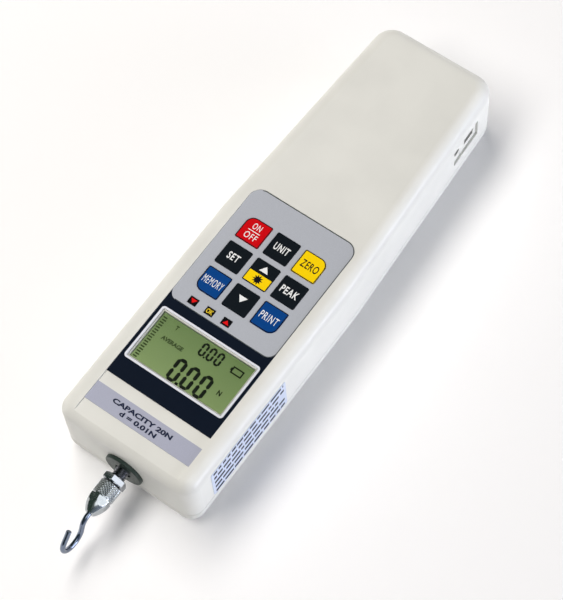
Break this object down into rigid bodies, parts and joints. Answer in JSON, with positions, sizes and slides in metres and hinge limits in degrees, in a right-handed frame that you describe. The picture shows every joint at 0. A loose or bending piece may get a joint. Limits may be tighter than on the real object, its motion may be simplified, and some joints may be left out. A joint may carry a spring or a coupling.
{
  "type": "force gauge",
  "caption": "Hand-held digital force gauge with a sunk face panel, membrane-style keys, a display and a bent wire hook on its load shaft.",
  "frame": {"origin": "middle of the flat back that the gauge lies on", "axes": "+X across the housing, to the right when the keypad is read from the hook's end; +Y along it, away from the hook; +Z out of the face"},
  "size_m": [0.0661, 0.261, 0.036],
  "materials": {
    "shell": "satin",
    "shell_back": "satin",
    "keypad_film": "satin",
    "display_film": "gloss",
    "strip_film": "satin",
    "bezel": "gloss",
    "lens": "clear",
    "lcd": "gloss",
    "lcd_frame": "satin",
    "indicator_window": "gloss",
    "lamp": "gloss",
    "dome_steel": "satin",
    "board": "satin",
    "chips": "matt",
    "screw_steel": "satin",
    "battery_sleeve": "gloss",
    "foam": "matt",
    "cell_alloy": "milled",
    "bracket_alloy": "satin",
    "shaft_steel": "turned",
    "bush": "satin",
    "nut_steel": "bright",
    "adaptor_steel": "bright",
    "wire_steel": "bright",
    "insert_brass": "satin",
    "socket_plastic": "matt",
    "label_film": "satin",
    "key_red": "satin",
    "key_black": "satin",
    "key_yellow": "satin",
    "key_blue": "satin"
  },
  "bodies": {
    "housing": {"back_shell": "shell_back", "battery_pack": "battery_sleeve", "battery_pad": "foam", "bracket_screws": "screw_steel", "case_screws": "screw_steel", "cell_bolt": "screw_steel", "cell_bracket": "bracket_alloy", "charger_jack": "socket_plastic", "display_bezel": "bezel", "display_foil": "display_film", "display_glass": "lcd", "display_lens": "lens", "display_module": "lcd_frame", "front_shell": "shell", "indicator_high": "indicator_window", "indicator_lamps": "lamp", "indicator_low": "indicator_window", "indicator_ok": "indicator_window", "key_board": "board", "key_board_screws": "screw_steel", "key_domes": "dome_steel", "keypad_foil": "keypad_film", "label_strip": "strip_film", "load_cell": "cell_alloy", "main_board": "board", "main_board_parts": "chips", "main_board_screws": "screw_steel", "mounting_inserts": "insert_brass", "serial_socket": "socket_plastic", "shaft_bush": "bush", "side_label": "label_film", "socket_board": "board"},
    "key_on_off_body": {"key_on_off": "key_red"},
    "key_unit_body": {"key_unit": "key_black"},
    "key_zero_body": {"key_zero": "key_yellow"},
    "key_set_body": {"key_set": "key_black"},
    "key_up_body": {"key_up": "key_black"},
    "key_peak_body": {"key_peak": "key_black"},
    "key_memory_body": {"key_memory": "key_blue"},
    "key_down_body": {"key_down": "key_black"},
    "key_print_body": {"key_print": "key_blue"},
    "load_train": {"load_shaft": "shaft_steel"},
    "nut_body": {"lock_nut": "nut_steel"},
    "hook_body": {"hook_adaptor": "adaptor_steel", "wire_hook": "wire_steel"}
  },
  "joints": [
    {"name": "key_on_off_press", "type": "slide", "parent": "housing", "child": "key_on_off_body", "axis": [0, 0, 1], "range_m": [-0.0004, 0], "stiffness_N_per_m": 1500, "springref_m": 0.0001},
    {"name": "key_unit_press", "type": "slide", "parent": "housing", "child": "key_unit_body", "axis": [0, 0, 1], "range_m": [-0.0004, 0], "stiffness_N_per_m": 1500, "springref_m": 0.0001},
    {"name": "key_zero_press", "type": "slide", "parent": "housing", "child": "key_zero_body", "axis": [0, 0, 1], "range_m": [-0.0004, 0], "stiffness_N_per_m": 1500, "springref_m": 0.0001},
    {"name": "key_set_press", "type": "slide", "parent": "housing", "child": "key_set_body", "axis": [0, 0, 1], "range_m": [-0.0004, 0], "stiffness_N_per_m": 1500, "springref_m": 0.0001},
    {"name": "key_up_press", "type": "slide", "parent": "housing", "child": "key_up_body", "axis": [0, 0, 1], "range_m": [-0.0004, 0], "stiffness_N_per_m": 1500, "springref_m": 0.0001},
    {"name": "key_peak_press", "type": "slide", "parent": "housing", "child": "key_peak_body", "axis": [0, 0, 1], "range_m": [-0.0004, 0], "stiffness_N_per_m": 1500, "springref_m": 0.0001},
    {"name": "key_memory_press", "type": "slide", "parent": "housing", "child": "key_memory_body", "axis": [0, 0, 1], "range_m": [-0.0004, 0], "stiffness_N_per_m": 1500, "springref_m": 0.0001},
    {"name": "key_down_press", "type": "slide", "parent": "housing", "child": "key_down_body", "axis": [0, 0, 1], "range_m": [-0.0004, 0], "stiffness_N_per_m": 1500, "springref_m": 0.0001},
    {"name": "key_print_press", "type": "slide", "parent": "housing", "child": "key_print_body", "axis": [0, 0, 1], "range_m": [-0.0004, 0], "stiffness_N_per_m": 1500, "springref_m": 0.0001},
    {"name": "load_travel", "type": "slide", "parent": "housing", "child": "load_train", "axis": [0, -1, 0], "range_m": [-0.0003, 0.0003], "stiffness_N_per_m": 60000},
    {"name": "nut_turn", "type": "hinge", "parent": "load_train", "child": "nut_body", "pos_m": [0, -0.1168, 0.018], "axis": [0, -1, 0], "range_deg": [-180, 180]},
    {"name": "hook_turn", "type": "hinge", "parent": "load_train", "child": "hook_body", "pos_m": [0, -0.1255, 0.018], "axis": [0, -1, 0], "range_deg": [-180, 180]}
  ]
}
